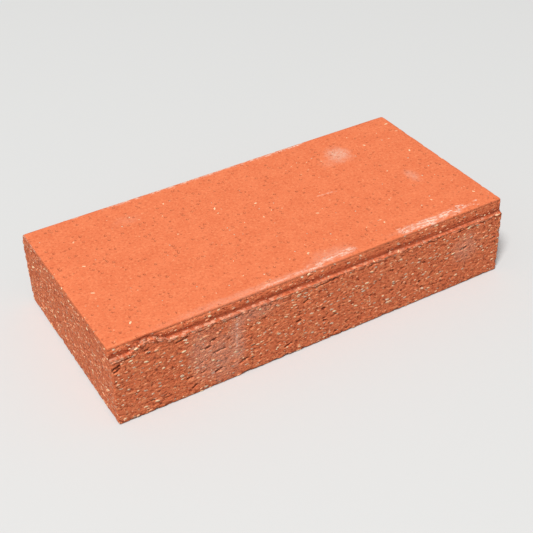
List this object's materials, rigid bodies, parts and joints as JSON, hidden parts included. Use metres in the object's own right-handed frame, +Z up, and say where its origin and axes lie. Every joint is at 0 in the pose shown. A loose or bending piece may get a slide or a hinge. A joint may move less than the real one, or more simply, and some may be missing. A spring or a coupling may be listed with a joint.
{
  "type": "clay paver",
  "caption": "Solid rectangular fired-clay paver with rebated top edges along its long sides, laid flat as paving.",
  "frame": {"origin": "middle of the bed face, the face that lies on the ground", "axes": "+X along the length, +Y across the width, +Z up through the thickness"},
  "size_m": [0.2, 0.1, 0.04],
  "materials": {
    "fired_clay": "matte"
  },
  "bodies": {
    "root": {"paver": "fired_clay"}
  },
  "joints": []
}
